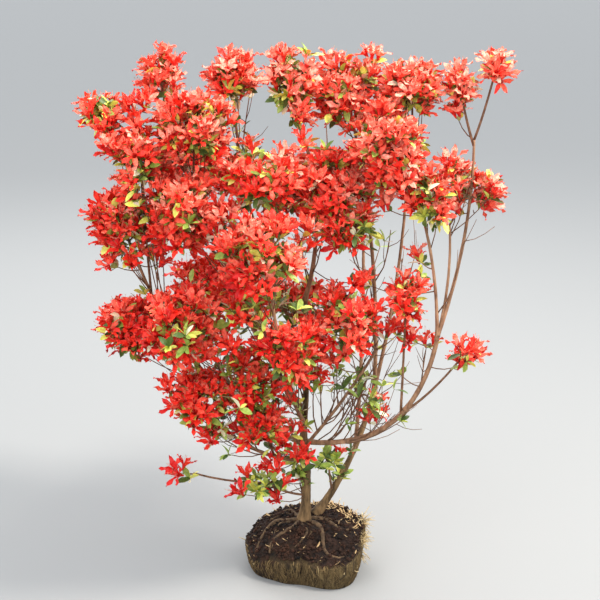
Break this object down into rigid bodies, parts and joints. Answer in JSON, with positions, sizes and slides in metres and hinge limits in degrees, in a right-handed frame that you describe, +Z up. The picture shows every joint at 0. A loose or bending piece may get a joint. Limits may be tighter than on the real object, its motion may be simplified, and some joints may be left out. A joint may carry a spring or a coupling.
{
  "type": "azalea shrub",
  "caption": "Flowering azalea shrub with slender arching stems and scarlet blossom in separate clusters, lifted with a bare root ball that stands on its flat underside.",
  "frame": {"origin": "centre of the flat underside of the root ball", "axes": "+Z up along the stems, +X to the right as seen from the front, and the front faces -Y"},
  "size_m": [0.7164, 0.5013, 0.9368],
  "materials": {
    "soil": "matte",
    "bark": "matte",
    "blossom": "satin",
    "foliage": "satin",
    "root_fibre": "matte"
  },
  "bodies": {
    "root": {"root_ball": "soil", "main_stem": "bark", "right_stem": "bark", "leader": "bark", "leader_top": "bark", "arc_lower": "bark", "arc_upper": "bark", "arc_outer": "bark", "arc_right": "bark", "arc_inner": "bark", "right_left": "bark", "right_right": "bark", "inner_right": "bark", "left_low": "bark", "left_front": "bark", "left_side": "bark", "left_top": "bark", "centre_left": "bark", "back_left": "bark", "back_right": "bark", "front_up": "bark", "top_spire": "blossom", "left_tip": "blossom", "left_shoulder": "blossom", "top_left": "blossom", "left_side_mass": "blossom", "left_heart": "blossom", "left_low_mass": "blossom", "left_front_mass": "blossom", "low_left": "blossom", "top_centre_left": "blossom", "top_centre": "blossom", "top_centre_right": "blossom", "top_right": "blossom", "top_right_tip": "blossom", "top_right_low": "blossom", "upper_right": "blossom", "right_inner_top": "blossom", "right_mass": "blossom", "centre_top": "blossom", "centre_front": "blossom", "centre_right_top": "blossom", "centre_right_low": "blossom", "mid_right": "blossom", "right_inner_mass": "blossom", "centre_low": "blossom", "centre_mid": "blossom", "low_front": "blossom", "low_centre": "blossom", "right_low_spray": "blossom", "low_right_spray": "blossom", "low_left_spray": "blossom", "foot_left_spray": "blossom", "foot_right_spray": "blossom", "back_left_mass": "blossom", "back_left_low": "blossom", "back_centre": "blossom", "back_right_mass": "blossom", "back_right_top": "blossom", "back_low": "blossom"}
  },
  "joints": []
}
